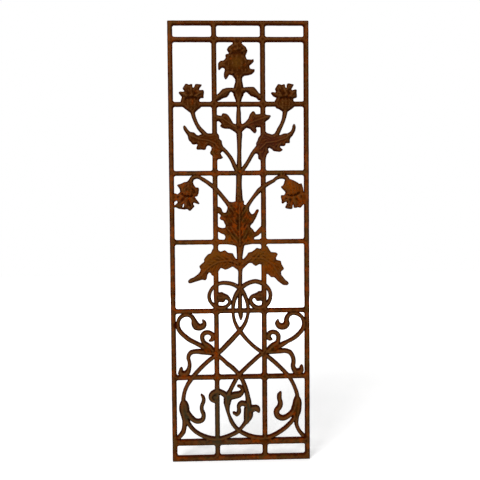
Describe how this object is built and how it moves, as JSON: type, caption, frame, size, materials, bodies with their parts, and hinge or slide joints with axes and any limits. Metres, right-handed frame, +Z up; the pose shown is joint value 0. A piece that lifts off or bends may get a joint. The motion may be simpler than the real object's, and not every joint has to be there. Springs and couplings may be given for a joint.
{
  "type": "cast iron panel",
  "caption": "Upright cast iron openwork panel: a flat lattice of bars carrying thistles, serrated leaves and scrollwork in relief.",
  "frame": {"origin": "middle of the bottom edge, half way through the thickness of the frame", "axes": "+Z up the panel, +X across it to the viewer's right, the ornamented front faces -Y and the flat back faces +Y"},
  "size_m": [0.289, 0.0164, 0.914],
  "materials": {
    "rusted_iron": "bare casting, evenly rusted to a brown skin with orange patches, no paint left"
  },
  "bodies": {
    "root": {"cast_panel": "rusted_iron"}
  },
  "joints": []
}
